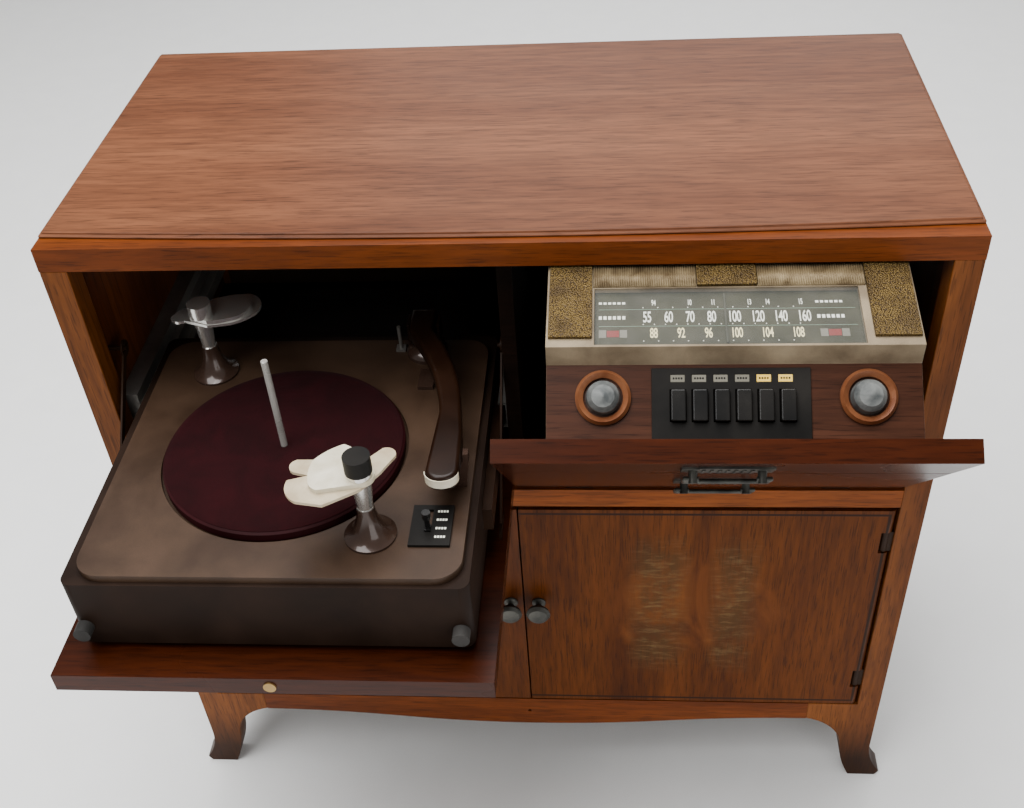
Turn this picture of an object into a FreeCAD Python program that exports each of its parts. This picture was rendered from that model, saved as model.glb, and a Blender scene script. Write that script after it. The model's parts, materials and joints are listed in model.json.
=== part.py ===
"""Radio phonograph console: a flat-fronted cabinet with a drop door and turntable drawer on the left,
a radio that tilts out with its door on the right, and two doors below.

Millimetres. +Z is up, +X is to the right of someone facing the console and +Y points to its back.
The origin is on the floor under the middle of the whole piece, open door included.
"""
import FreeCAD, Part
import math
import os
import Sketcher

Vector = FreeCAD.Vector

DIMENSIONS = {
    # cabinet
    "cabinet_width": 876, "cabinet_depth": 426, "cabinet_height": 848, "door_reach": 275, "leg": 28,
    "board": 18, "stile_width": 27.5, "back_thickness": 4, "top_rail_bottom": 818, "slab_bottom": 828,
    "slab_top": 843, "field_end": 20, "bow_radius": 8750, "upper_sill": 530, "rail_height": 25,
    "lower_sill": 155, "apron_low": 103, "apron_end": 124, "knee_x": 350, "foot_out": 457, "foot_in": 417,
    "bracket_x": 399, "bracket_z": 63, "bracket_radius": 62,
    "partition_left": -4.5, "partition_right": 10.5,
    # doors
    "door_thickness": 20.7, "door_gap": 2, "pivot": 6, "pivot_rise": 6.6, "pin_radius": 2.5, "barrel_radius": 4.5,
    "running_gap": 0.05, "phono_open_angle": 88.5, "radio_open_angle": 41.5, "door_top": 286, "door_meet": 1.5,
    "knuckle": 30, "notch": 5.2, "hinge_inset": 68, "lower_door_bottom": 157, "lower_door_top": 499.5,
    "lower_door_back": 14, "knob_height": 345, "groove": 2,
    # turntable drawer, where it stands when pulled out
    "drawer_left": -387, "drawer_right": -18.5, "drawer_front": -239, "drawer_back": 123,
    "drawer_bottom": 565, "drawer_top": 645, "drawer_wall": 18, "drawer_floor": 6,
    "deck_left": -375.5, "deck_right": -25.5, "deck_front": -235, "deck_back": 106, "deck_top": 653,
    "deck_corner": 25, "platter_x": -213, "platter_o": -72, "platter_radius": 118, "rim_inner": 112,
    "well_radius": 121, "well_floor": 648, "platter_top": 660.5, "spindle_radius": 3.3,
    "spindle_top": 766, "idler_radius": 24, "pulley_radius": 4, "contact_gap": 0.3,
    "slide_height": 34, "slide_bottom": 590, "slide_lip": 3, "slide_start": 34, "slide_end": 392,
    # radio, measured with its door shut
    "radio_left": 47.5, "radio_right": 372.5, "panel_top": 245, "panel_thickness": 6, "panel_back": 91,
    "dial_rise": 261.9, "dial_back": 104.1, "dial_slope": 29.5, "dial_length": 97, "cheek": 8, "cradle_low": 12,
    "window_left": 90, "window_right": 324, "window_low": 2.5, "window_high": 69, "block_low": 9,
    "volume_x": 97.6, "tuning_x": 326.1, "control_back": 61.5, "ring_radius": 24.5, "ring_bore": 17.5,
    "dome_radius": 14, "shaft_radius": 3, "key_left": 156.5, "key_width": 13, "key_pitch": 18.9, "key_front": 40,
    "key_length": 28, "key_gap": 0.5,
    # bail pulls
    "plate_width": 80, "plate_height": 44, "post_x": 30, "bail_x": 37, "bail_drop": 25, "bail_rod": 2.2,
    "post_height": 9, "upper_pull": 237, "lower_pull": 105, "phono_pull_x": -204, "radio_pull_x": 205.5,
    # speaker
    "speaker_x": -212, "speaker_z": 335, "baffle_front": 40, "baffle_thickness": 12, "speaker_hole": 135,
}

doc = FreeCAD.newDocument("radio_phonograph_console")
sheet = doc.addObject("Spreadsheet::Sheet", "Dimensions")
for row, (alias, number) in enumerate(DIMENSIONS.items(), start=1):
    sheet.set(f"A{row}", alias)
    sheet.set(f"B{row}", str(number))
    sheet.setAlias(f"B{row}", alias)
doc.recompute()


class Size:
    """A length or angle that knows its number and the sheet formula it comes from."""

    def __init__(self, value, text):
        self.value = value
        self.text = text

    def _join(self, other, sign, value):
        return Size(value, f"({self.text} {sign} {as_size(other).text})")

    def __add__(self, other):
        return self._join(other, "+", self.value + as_size(other).value)

    def __sub__(self, other):
        return self._join(other, "-", self.value - as_size(other).value)

    def __mul__(self, other):
        return self._join(other, "*", self.value * as_size(other).value)

    def __truediv__(self, other):
        return self._join(other, "/", self.value / as_size(other).value)

    def __neg__(self):
        return Size(-self.value, f"(0 - {self.text})")

    def __radd__(self, other):
        return as_size(other) + self

    def __rsub__(self, other):
        return as_size(other) - self

    def __rmul__(self, other):
        return as_size(other) * self


def as_size(number):
    return number if isinstance(number, Size) else Size(float(number), repr(float(number)))


def dim(alias):
    return Size(float(getattr(sheet, alias)), f"Dimensions.{alias}")


def bind(item, prop, size):
    """Ties one property to the sheet, or sets it where the size is a plain number."""
    size = as_size(size)
    if "Dimensions" in size.text:
        item.setExpression(prop, size.text)
    else:
        setattr(item, prop, size.value)


def put(item, corner, turn=None):
    """Places a piece: its corner follows the sheet, and turn is (axis, degrees)."""
    if turn:
        item.Placement = FreeCAD.Placement(Vector(),
                                           FreeCAD.Rotation(Vector(*turn[0]), as_size(turn[1]).value))
    for letter, size in zip("xyz", corner):
        size = as_size(size)
        if "Dimensions" in size.text:
            item.setExpression(f"Placement.Base.{letter}", size.text)
        else:
            base = item.Placement.Base
            setattr(base, letter, size.value)
            item.Placement.Base = base
    return item


def box(label, sizes, corner, turn=None):
    item = doc.addObject("Part::Box", label)
    for prop, size in zip(("Length", "Width", "Height"), sizes):
        bind(item, prop, size)
    return put(item, corner, turn)


ALONG = {"X": ((0, 1, 0), 90), "Y": ((1, 0, 0), -90), "Z": ((0, 0, 1), 0)}


def cylinder(label, radius, height, corner, along="Z"):
    item = doc.addObject("Part::Cylinder", label)
    bind(item, "Radius", radius)
    bind(item, "Height", height)
    return put(item, corner, ALONG[along])


def cone(label, radius1, radius2, height, corner, along="Z"):
    item = doc.addObject("Part::Cone", label)
    for prop, size in (("Radius1", radius1), ("Radius2", radius2), ("Height", height)):
        bind(item, prop, size)
    return put(item, corner, ALONG[along])


def fuse(label, pieces):
    item = doc.addObject("Part::MultiFuse", label)
    item.Shapes = pieces
    item.Refine = True
    return item


def cut(label, base, tools):
    item = doc.addObject("Part::Cut", label)
    item.Base = base
    item.Tool = tools[0] if len(tools) == 1 else fuse(label + "_tools", tools)
    return item


def together(label, pieces):
    """Separate solids that are kept in one node."""
    item = doc.addObject("Part::Compound", label)
    item.Links = pieces
    return item


PLANES = {"XY": "XY_Plane", "XZ": "XZ_Plane", "YZ": "YZ_Plane"}


def new_sketch(body, plane, offset=0.0):
    """A sketch on one of the body's own origin planes, offset along the plane's normal."""
    support = next(o for o in body.Origin.OriginFeatures if o.Role == PLANES[plane])
    sketch = body.newObject("Sketcher::SketchObject", "Sketch")
    sketch.AttachmentSupport = [(support, "")]
    sketch.MapMode = "FlatFace"
    offset = as_size(offset)
    if "Dimensions" in offset.text:
        sketch.setExpression("AttachmentOffset.Base.z", offset.text)
    sketch.AttachmentOffset = FreeCAD.Placement(Vector(0, 0, offset.value), FreeCAD.Rotation())
    return sketch


def hold(sketch, kind, first, second, size):
    """Adds one dimension to a sketch and ties it to the sheet."""
    size = as_size(size)
    axis = {"DistanceX": -2, "DistanceY": -1}.get(kind)
    if axis is not None and abs(size.value) < 1e-9:
        sketch.addConstraint(Sketcher.Constraint("PointOnObject", first, second, axis))
        return
    if axis is None:
        index = sketch.addConstraint(Sketcher.Constraint(kind, first, size.value))
    else:
        index = sketch.addConstraint(Sketcher.Constraint(kind, -1, 1, first, second, size.value))
    if "Dimensions" in size.text:
        sketch.setExpression(f"Constraints[{index}]", size.text)


def draw(sketch, corners):
    """Draws a closed outline. A corner is (x, y), or (x, y, radius) where the edge that reaches it is an arc:
    a positive radius turns left along the outline and a negative one turns right."""
    count = len(corners)
    starts = []
    for i, corner in enumerate(corners):
        before = corners[i - 1]
        a = Vector(as_size(before[0]).value, as_size(before[1]).value, 0)
        b = Vector(as_size(corner[0]).value, as_size(corner[1]).value, 0)
        if len(corner) == 2:
            index = sketch.addGeometry(Part.LineSegment(a, b), False)
            starts.append((index, 1, 2))
            continue
        radius = as_size(corner[2]).value
        half = (b - a) / 2
        left = Vector(-half.y, half.x, 0).normalize() * math.copysign(1, radius)
        centre = a + half + left * math.sqrt(radius ** 2 - half.Length ** 2)
        first, last = (a, b) if radius > 0 else (b, a)
        circle = Part.Circle(centre, Vector(0, 0, 1), abs(radius))
        angles = [math.atan2(p.y - centre.y, p.x - centre.x) for p in (first, last)]
        index = sketch.addGeometry(Part.ArcOfCircle(circle, angles[0], angles[1]), False)
        starts.append((index, 1, 2) if radius > 0 else (index, 2, 1))
    for i, corner in enumerate(corners):
        index, _, end = starts[i]
        follower, start, _ = starts[(i + 1) % count]
        sketch.addConstraint(Sketcher.Constraint("Coincident", index, end, follower, start))
        hold(sketch, "DistanceX", index, end, corner[0])
        hold(sketch, "DistanceY", index, end, corner[1])
        if len(corner) == 3:
            radius = as_size(corner[2])
            hold(sketch, "Radius", index, None, radius if radius.value > 0 else -radius)


def ring(sketch, x, y, radius):
    index = sketch.addGeometry(Part.Circle(Vector(as_size(x).value, as_size(y).value, 0), Vector(0, 0, 1),
                                           as_size(radius).value), False)
    hold(sketch, "DistanceX", index, 3, x)
    hold(sketch, "DistanceY", index, 3, y)
    hold(sketch, "Radius", index, None, radius)


def rectangle(x0, y0, x1, y1):
    return [(x0, y0), (x1, y0), (x1, y1), (x0, y1)]


def rounded_rectangle(x0, y0, x1, y1, radius):
    return [(x0 + radius, y0, radius), (x1 - radius, y0), (x1, y0 + radius, radius), (x1, y1 - radius),
            (x1 - radius, y1, radius), (x0 + radius, y1), (x0, y1 - radius, radius), (x0, y0 + radius)]


def new_body(label):
    return doc.addObject("PartDesign::Body", label)


def pad(body, plane, length, outlines, circles=(), offset=0.0, reverse=False):
    sketch = new_sketch(body, plane, offset)
    for corners in outlines:
        draw(sketch, corners)
    for x, y, radius in circles:
        ring(sketch, x, y, radius)
    feature = body.newObject("PartDesign::Pad", "Pad")
    feature.Profile = sketch
    bind(feature, "Length", length)
    feature.Reversed = reverse
    return feature


def pocket(body, plane, length, outlines, circles=(), offset=0.0, reverse=False):
    """Cuts a pocket and makes sure that it took something away."""
    doc.recompute()
    before = body.Shape.Volume
    sketch = new_sketch(body, plane, offset)
    for corners in outlines:
        draw(sketch, corners)
    for x, y, radius in circles:
        ring(sketch, x, y, radius)
    feature = body.newObject("PartDesign::Pocket", "Pocket")
    feature.Profile = sketch
    bind(feature, "Length", length)
    feature.Reversed = reverse
    doc.recompute()
    if body.Shape.Volume > before - 1e-3:
        raise RuntimeError(f"a pocket in {body.Label} cuts nothing")
    return feature


def fillet(body, radius, pick):
    doc.recompute()
    base = body.Tip
    names = [f"Edge{i}" for i, edge in enumerate(base.Shape.Edges, start=1) if pick(edge.BoundBox)]
    if not names:
        raise RuntimeError(f"no edge to round in {body.Label}")
    feature = body.newObject("PartDesign::Fillet", "Fillet")
    feature.Base = (base, names)
    bind(feature, "Radius", radius)
    return feature


def turned(label, profile, corner, along="Z"):
    """A piece turned about its own axis. The profile holds (radius, height) corners."""
    body = new_body(label)
    sketch = new_sketch(body, "XZ")
    draw(sketch, profile)
    feature = body.newObject("PartDesign::Revolution", "Revolution")
    feature.Profile = sketch
    feature.ReferenceAxis = (sketch, ["V_Axis"])
    feature.Angle = 360
    return put(body, corner, ALONG[along])


nodes = []


def node(*items):
    nodes.extend(items)
    return items[0]


# ---------------------------------------------------------------- common places
half_width = dim("cabinet_width") / 2
front = -(dim("cabinet_depth") - dim("door_reach")) / 2
back = front + dim("cabinet_depth")
behind_frame = front + dim("leg")
inside_back = back - dim("leg")
opening_side = half_width - dim("stile_width")
inner_side = half_width - dim("board")
sill = dim("upper_sill")
pivot_y = front + dim("pivot")
pivot_z = sill + dim("pivot_rise")


def pad_y(body, start, length, outlines, circles=()):
    """Pads an outline drawn in X and Z from start towards the back."""
    return pad(body, "XZ", length, outlines, circles, offset=-as_size(start), reverse=True)


def pocket_y(body, start, length, outlines, circles=()):
    return pocket(body, "XZ", length, outlines, circles, offset=-as_size(start))


def pocket_x(body, start, length, outlines, circles=()):
    return pocket(body, "YZ", length, outlines, circles, offset=as_size(start) + length)


def mirrored(label, source):
    item = doc.addObject("Part::Mirroring", label)
    item.Source = source
    item.Normal = (1, 0, 0)
    return item


def seat(item, frames, at=(0, 0, 0), turn=None):
    """Stands a piece inside a tilted frame, at a place and turn measured in that frame."""
    own = FreeCAD.Placement(Vector(*[as_size(number).value for number in at]),
                            FreeCAD.Rotation(Vector(*turn[0]), turn[1]) if turn else FreeCAD.Rotation())
    place = FreeCAD.Placement()
    for frame in frames:
        place = place.multiply(frame)
    item.Placement = place.multiply(own)
    return item


def tilt(corner, angle):
    return FreeCAD.Placement(Vector(*[as_size(number).value for number in corner]),
                             FreeCAD.Rotation(Vector(1, 0, 0), as_size(angle).value))


phono_frame = tilt((0, pivot_y, pivot_z), dim("phono_open_angle"))
radio_frame = tilt((0, pivot_y, pivot_z), dim("radio_open_angle"))


def b(depth):
    """A distance back from the shut door's face, measured from its pivot."""
    return as_size(depth) - dim("pivot")


def a(rise):
    """A distance up the shut door, measured from its pivot."""
    return as_size(rise) - dim("pivot_rise")


# ---------------------------------------------------------------- cabinet
top_board = new_body("top_board")
pad(top_board, "XY", dim("slab_top") - dim("slab_bottom"),
    [rectangle(-half_width, behind_frame, half_width, back)], offset=dim("slab_bottom"))
field_front = front + dim("field_end")
field_step = 2.5
pad(top_board, "XY", field_step,
    [[(-half_width, field_front), (half_width, field_front, dim("bow_radius")), (half_width, back),
      (-half_width, back)]], offset=dim("slab_top"))
pad(top_board, "XY", dim("cabinet_height") - dim("slab_top") - field_step,
    [[(3 - half_width, field_front + 3), (half_width - 3, field_front + 3, dim("bow_radius")),
      (half_width - 3, back - 3), (3 - half_width, back - 3)]], offset=dim("slab_top") + field_step)
node(top_board)

top_rail = box("top_rail", (dim("cabinet_width"), dim("leg"), dim("slab_top") - dim("top_rail_bottom")),
               (-half_width, front, dim("top_rail_bottom")))
middle_rail = box("middle_rail", (opening_side * 2, dim("leg"), dim("rail_height")),
                  (-opening_side, front, sill - dim("rail_height")))
# The apron's lower edge bows down in the middle and turns back to level at each leg.
apron_turn = dim("knee_x") / 2
apron_drop = (dim("apron_end") - dim("apron_low")) / 2
apron_radius = (apron_turn * apron_turn + apron_drop * apron_drop) / (apron_drop * 2)
apron = new_body("apron")
pad_y(apron, front, dim("leg"),
      [[(-dim("knee_x"), dim("lower_sill")), (-dim("knee_x"), dim("apron_end")),
        (-apron_turn, dim("apron_end") - apron_drop, -apron_radius),
        (apron_turn, dim("apron_end") - apron_drop, apron_radius),
        (dim("knee_x"), dim("apron_end"), -apron_radius),
        (dim("knee_x"), dim("lower_sill"))]], circles=[(-2, 130, 2.2)])
node(together("front_rails", [top_rail, middle_rail, apron]))


def leg(label, start, top):
    body = new_body(label)
    pad_y(body, start, dim("leg"),
          [[(dim("foot_in"), 0, 200), (dim("foot_out") - 5, 0), (dim("foot_out"), 8), (half_width, 66, -100),
            (half_width, top), (opening_side, top), (opening_side, dim("lower_sill")),
            (dim("knee_x"), dim("lower_sill")), (dim("knee_x"), dim("apron_end")),
            (dim("bracket_x"), dim("bracket_z"), -dim("bracket_radius"))]])
    return body


front_leg = leg("front_leg", front, dim("top_rail_bottom"))
rear_leg = leg("rear_leg", inside_back, dim("slab_bottom"))
node(together("legs", [front_leg, rear_leg, mirrored("left_front_leg", front_leg),
                       mirrored("left_rear_leg", rear_leg)]))

depth_inside = inside_back - behind_frame
side_panel = box("side_panel", (dim("board"), depth_inside, dim("slab_bottom") - 124),
                 (inner_side, behind_frame, 124))
node(together("side_panels", [side_panel, mirrored("left_side_panel", side_panel)]))

node(together("cabinet_shelves", [
    box("bay_shelf", (inner_side * 2, depth_inside, dim("board")),
        (-inner_side, behind_frame, sill - dim("board"))),
    box("bottom_board", (inner_side * 2, depth_inside, 15),
        (-inner_side, behind_frame, dim("lower_sill") - 15)),
]))

partition_width = dim("partition_right") - dim("partition_left")
node(together("centre_partitions", [
    box("upper_partition", (partition_width, depth_inside, dim("slab_bottom") - sill),
        (dim("partition_left"), behind_frame, sill)),
    box("lower_partition", (partition_width, depth_inside, sill - dim("board") - dim("lower_sill")),
        (dim("partition_left"), behind_frame, dim("lower_sill"))),
]))

back_panel = new_body("back_panel")
pad_y(back_panel, inside_back, dim("back_thickness"),
      [rectangle(-opening_side, dim("lower_sill"), opening_side, dim("slab_bottom"))])
for column in (-212, 212):
    for height in (250, 450, 620, 740):
        slots = [rectangle(column + 26 * i - 5, height - 30, column + 26 * i + 5,
                           height + 30) for i in range(-4, 5)]
        pocket_y(back_panel, inside_back, dim("back_thickness"), slots)
node(back_panel)

baffle_start = front + dim("baffle_front")
speaker_baffle = new_body("speaker_baffle")
pad_y(speaker_baffle, baffle_start, dim("baffle_thickness"),
      [rectangle(-inner_side, dim("lower_sill"), dim("partition_left"), sill - dim("board"))],
      circles=[(dim("speaker_x"), dim("speaker_z"), dim("speaker_hole"))])
node(speaker_baffle)
node(box("grille_cloth", (380, 1.2, 325), (dim("speaker_x") - 190, baffle_start - 1.2,
                                           dim("lower_sill") + 12)))
node(turned("loudspeaker",
            [(0, 26), (18, 26), (32, 44), (128, 8), (128, 0), (152, 0), (152, 5), (138, 5), (60, 62),
             (60, 112),
             (0, 112)],
            (dim("speaker_x"), baffle_start + dim("baffle_thickness"), dim("speaker_z")), "Y"))

chassis_top = dim("lower_sill") + 50
amplifier_parts = [box("amplifier_pan", (250, 140, 50), (-390, front + 240, dim("lower_sill"))),
                   box("output_transformer", (60, 50, 60), (-215, front + 285, chassis_top)),
                   box("mains_transformer", (80, 80, 85), (-380, front + 270, chassis_top))]
for i in range(3):
    amplifier_parts.append(cylinder(f"amplifier_valve_{i + 1}", 17, 95,
                                    (-275, front + 262 + 44 * i, chassis_top)))
node(fuse("amplifier", amplifier_parts))

dividers = []
for i in range(4):
    dividers.append(box(f"divider_{i + 1}", (6, 320, 280),
                        (88 + 76 * i, behind_frame + 40, dim("lower_sill"))))
dividers.append(box("divider_rail", (inner_side - dim("partition_right"), 20, 60),
                    (dim("partition_right"), inside_back - 20, dim("lower_sill") + 60)))
node(together("record_dividers", dividers))

hinges = []


def lying_knuckle(x):
    length = dim("knuckle")
    hinges.append(fuse(f"knuckle_{len(hinges) + 1}", [
        cylinder(f"barrel_{len(hinges) + 1}", dim("barrel_radius"), length,
                 (x - length / 2, pivot_y, pivot_z), "X"),
        box(f"web_{len(hinges) + 1}", (length, 6, dim("pivot_rise")), (x - length / 2, pivot_y - 3, sill)),
        cylinder(f"pin_{len(hinges) + 1}", dim("pin_radius"), length + 18,
                 (x - length / 2 - 9, pivot_y, pivot_z), "X"),
    ]))


def standing_knuckle(side, z):
    length = dim("knuckle")
    axis_x = side * (opening_side - dim("door_gap") - dim("pivot"))
    web_x = axis_x if side > 0 else -opening_side
    hinges.append(fuse(f"knuckle_{len(hinges) + 1}", [
        cylinder(f"barrel_{len(hinges) + 1}", dim("barrel_radius"), length,
                 (axis_x, pivot_y, z - length / 2)),
        box(f"web_{len(hinges) + 1}", (dim("door_gap") + dim("pivot"), 6, length),
            (web_x, pivot_y - 3, z - length / 2)),
        cylinder(f"pin_{len(hinges) + 1}", dim("pin_radius"), length + 18,
                 (axis_x, pivot_y, z - length / 2 - 9)),
    ]))


door_side = opening_side - dim("door_gap")
phono_right = dim("door_meet") - dim("door_gap") / 2
radio_left_edge = dim("door_meet") + dim("door_gap") / 2
phono_hinges = (-door_side + dim("hinge_inset"), phono_right - dim("hinge_inset"))
radio_hinges = (radio_left_edge + dim("hinge_inset"), door_side - dim("hinge_inset"))
lower_hinges = (dim("lower_door_bottom") + 50, dim("lower_door_top") - 50)
for x in phono_hinges + radio_hinges:
    lying_knuckle(x)
for side in (-1, 1):
    for z in lower_hinges:
        standing_knuckle(side, z)
stay_head = (front + 45, 692)
stay_pins = [cylinder("left_stay_pin", 2.5, 19, (-inner_side, stay_head[0], stay_head[1]), "X"),
             cylinder("right_stay_pin", 2.5, 6, (dim("partition_left") - 6, stay_head[0], stay_head[1]), "X")]
node(together("door_hinges", hinges + stay_pins))

slide_length = dim("slide_end") - dim("slide_start")
slide_inside = dim("slide_height") - dim("slide_lip") * 2
left_wall = -inner_side + 19


def channel(label, wall, side):
    """The cabinet's half of a drawer slide. side is +1 where it opens towards +X."""
    web_x = wall if side > 0 else wall - 2
    lip_x = wall if side > 0 else wall - 9.5
    corner_y = front + dim("slide_start")
    return fuse(label, [
        box(label + "_web", (2, slide_length, dim("slide_height")), (web_x, corner_y, dim("slide_bottom"))),
        box(label + "_low_lip", (9.5, slide_length, dim("slide_lip")),
            (lip_x, corner_y, dim("slide_bottom"))),
        box(label + "_high_lip", (9.5, slide_length, dim("slide_lip")),
            (lip_x, corner_y, dim("slide_bottom") + dim("slide_height") - dim("slide_lip"))),
    ])


node(together("cabinet_runners", [
    channel("left_channel", left_wall, 1),
    channel("right_channel", dim("partition_left"), -1),
    box("slide_packing", (19, slide_length, 60),
        (-inner_side, front + dim("slide_start"), dim("slide_bottom") - 13)),
]))

# ---------------------------------------------------------------- drop doors


def drop_door(label, left, right, hinge_places, frame):
    body = new_body(label)
    face = -dim("pivot")
    inner = dim("door_thickness") - dim("pivot")
    pad(body, "YZ", right - left,
        [[(face, 0), (0, face, dim("pivot")), (inner, face), (inner, a(dim("door_top"))),
          (face, a(dim("door_top")))]],
        offset=left)
    for x in hinge_places:
        room = dim("knuckle") + 2
        pocket_x(body, x - room / 2, room, [rectangle(-7, -7, dim("notch"), dim("notch"))])
        pocket_x(body, x - room / 2 - 10, room + 20, [], [(0, 0, dim("pin_radius") + dim("running_gap"))])
    for rise in (20, 190):
        pocket_x(body, left, right - left, [rectangle(face, a(rise - 1.5), face + dim("groove"),
                                                      a(rise + 1.5))])
    return seat(body, [frame])


def pull_plates(label, x, extra=()):
    """Two ribbed back plates, each with a pair of posts bored for the bail."""
    plates = []
    face = -dim("pivot")
    for i, rise in enumerate((dim("upper_pull"), dim("lower_pull")), start=1):
        name = f"{label}_{i}"
        pieces = [box(name + "_plate", (dim("plate_width"), 2, dim("plate_height") - 12),
                      (x - dim("plate_width") / 2, face - 2, a(rise) - dim("plate_height") / 2 + 6)),
                  box(name + "_crest", (dim("plate_width") - 30, 2, dim("plate_height")),
                      (x - dim("plate_width") / 2 + 15, face - 2, a(rise) - dim("plate_height") / 2))]
        for j in range(7):
            pieces.append(box(f"{name}_rib_{j + 1}", (2.4, 1, dim("plate_height") - 16),
                              (x - 22 + 7 * j - 0.2, face - 3, a(rise) - dim("plate_height") / 2 + 8)))
        for side in (-1, 1):
            pieces.append(cylinder(f"{name}_post_{side + 2}", 4, dim("post_height") + 4,
                                   (x + side * dim("post_x"), face - dim("post_height") - 4, a(rise)), "Y"))
        bore = cylinder(name + "_bore", dim("bail_rod") + dim("running_gap"), dim("post_x") * 2 + 20,
                        (x - dim("post_x") - 10, face - dim("post_height"), a(rise)), "X")
        plates.append(cut(name, fuse(name + "_solid", pieces), [bore]))
    return together(label, plates + list(extra))


def bail(label, x, rise, frame):
    rod = dim("bail_rod")
    y = -dim("pivot") - dim("post_height")
    top, low = a(rise), a(rise) - dim("bail_drop")
    pieces = [cylinder(label + "_bar", rod, dim("bail_x") * 2, (x - dim("bail_x"), y, low), "X")]
    for side in (-1, 1):
        arm_x = x + side * dim("bail_x")
        pin_x = arm_x - 12 if side > 0 else arm_x
        pieces.append(cylinder(f"{label}_arm_{side + 2}", rod, dim("bail_drop"), (arm_x, y, low)))
        pieces.append(cylinder(f"{label}_pin_{side + 2}", rod, 12, (pin_x, y, top), "X"))
        for height in (low, top):
            ball = doc.addObject("Part::Sphere", label + "_corner")
            bind(ball, "Radius", rod)
            pieces.append(put(ball, (arm_x, y, height)))
    return seat(fuse(label, pieces), [frame])


node(drop_door("phono_door_panel", -door_side, phono_right, phono_hinges, phono_frame))
catch = cylinder("door_catch", 6, 1.5, (-204.8, 4, a(dim("door_top"))))

# The stays are set out where they stand with the door open, then carried into the door's own frame.
stay_foot = (front - 80, 561)
into_door = phono_frame.inverse()


def stay(label, x):
    """A flat link fixed to the door by its lug, with a slotted eye that rides on the cabinet's stay pin."""
    run = stay_head[0] - stay_foot[0]
    climb = stay_head[1] - stay_foot[1]
    angle = math.degrees(math.atan2(climb, run.value))
    length = math.hypot(climb, run.value)
    bar = box(label + "_bar", (2, length, 8), (0, 0, 0))
    seat(bar, [into_door, tilt((x, stay_foot[0], stay_foot[1]), angle)], at=(0, 0, -4))
    eye = cylinder(label + "_eye", 9, 2, (0, 0, 0), "X")
    seat(eye, [into_door], at=(x, stay_head[0], stay_head[1]), turn=ALONG["X"])
    slot = box(label + "_slot", (8, 12, 5.8), (0, 0, 0))
    seat(slot, [into_door, tilt((x - 3, stay_head[0], stay_head[1]), -14)], at=(0, -8, -2.9))
    inner = dim("door_thickness") - dim("pivot")
    foot_place = into_door.multVec(Vector(as_size(x).value, stay_foot[0].value, stay_foot[1]))
    lug = box(label + "_lug", (3, 7, 30), (x - 0.5, inner, foot_place.z - 15))
    return fuse(label, [cut(label + "_link", fuse(label + "_blank", [bar, eye]), [slot]), lug])


left_stay_x = -inner_side + 16
right_stay_x = -7.5
phono_fittings = pull_plates("phono_door_fittings", dim("phono_pull_x"),
                             [catch, stay("left_stay", left_stay_x), stay("right_stay", right_stay_x)])
node(seat(phono_fittings, [phono_frame]))
node(bail("phono_upper_bail", dim("phono_pull_x"), dim("upper_pull"), phono_frame))
node(bail("phono_lower_bail", dim("phono_pull_x"), dim("lower_pull"), phono_frame))

node(drop_door("radio_door_panel", radio_left_edge, door_side, radio_hinges, radio_frame))
node(seat(pull_plates("radio_pull_plates", dim("radio_pull_x")), [radio_frame]))
node(bail("radio_upper_bail", dim("radio_pull_x"), dim("upper_pull"), radio_frame))
node(bail("radio_lower_bail", dim("radio_pull_x"), dim("lower_pull"), radio_frame))

# ---------------------------------------------------------------- radio, carried on its door
radio_width = dim("radio_right") - dim("radio_left")
skin = dim("panel_thickness")
door_back = dim("door_thickness") - dim("pivot")
dial_frame = tilt((0, b(dim("dial_back")), a(dim("dial_rise"))), -dim("dial_slope"))
slope = math.radians(dim("dial_slope").value)
run, drop = math.cos(slope), math.sin(slope)
dial_far = (b(dim("dial_back")) + dim("dial_length") * run, a(dim("dial_rise")) - dim("dial_length") * drop)

shell = new_body("housing_shell")
pad(shell, "YZ", radio_width,
    [[(door_back, a(dim("cradle_low"))), (dial_far[0], a(dim("cradle_low"))),
      (dial_far[0] + 2, dial_far[1] - 4),
      dial_far, (b(dim("dial_back")), a(dim("dial_rise"))), (b(dim("panel_back")), a(dim("panel_top"))),
      (door_back, a(dim("panel_top")))]], offset=dim("radio_left"))
pocket_x(shell, dim("radio_left") + dim("cheek"), radio_width - dim("cheek") * 2,
         [[(door_back + 5, a(18)), (dial_far[0] + 20, a(18)), (dial_far[0] + 20, dial_far[1] - 18.3),
           (b(102.9), a(255.6)), (b(94), a(239)), (door_back + 5, a(239))]])
window = box("dial_window", (dim("window_right") - dim("window_left"),
                             dim("window_high") - dim("window_low"), 30),
             (0, 0, 0))
seat(window, [dial_frame], at=(dim("window_left"), dim("window_low"), -12))
openings = [window]
for name, x in (("volume", dim("volume_x")), ("tuning", dim("tuning_x"))):
    openings.append(cylinder(name + "_bore", dim("shaft_radius") + dim("running_gap"), 30,
                             (x, b(dim("control_back")), a(230))))
key_room = dim("key_gap")
for i in range(6):
    openings.append(box(f"key_opening_{i + 1}",
                        (dim("key_width") + key_room * 2, dim("key_length") + key_room * 2, 30),
                        (dim("key_left") + dim("key_pitch") * i - key_room, b(dim("key_front")) - key_room,
                         a(230))))
node(seat(cut("radio_housing", shell, openings), [radio_frame]))

key_panel = new_body("key_panel")
pad(key_panel, "XY", 2, [rectangle(140, b(21.5), 277.5, b(87.5))], offset=a(dim("panel_top")))
pocket(key_panel, "XY", 4,
       [rectangle(dim("key_left") + dim("key_pitch") * i - key_room, b(dim("key_front")) - key_room,
                  dim("key_left") + dim("key_pitch") * i + dim("key_width") + key_room,
                  b(dim("key_front")) + dim("key_length") + key_room) for i in range(6)],
       offset=a(dim("panel_top")) + 3)
pocket(key_panel, "XY", 2,
       [rectangle(156.5 + 18.6 * i, b(75), 169 + 18.6 * i, b(81.5)) for i in range(6)],
       offset=a(dim("panel_top")) + 3)
node(seat(key_panel, [radio_frame]))

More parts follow.
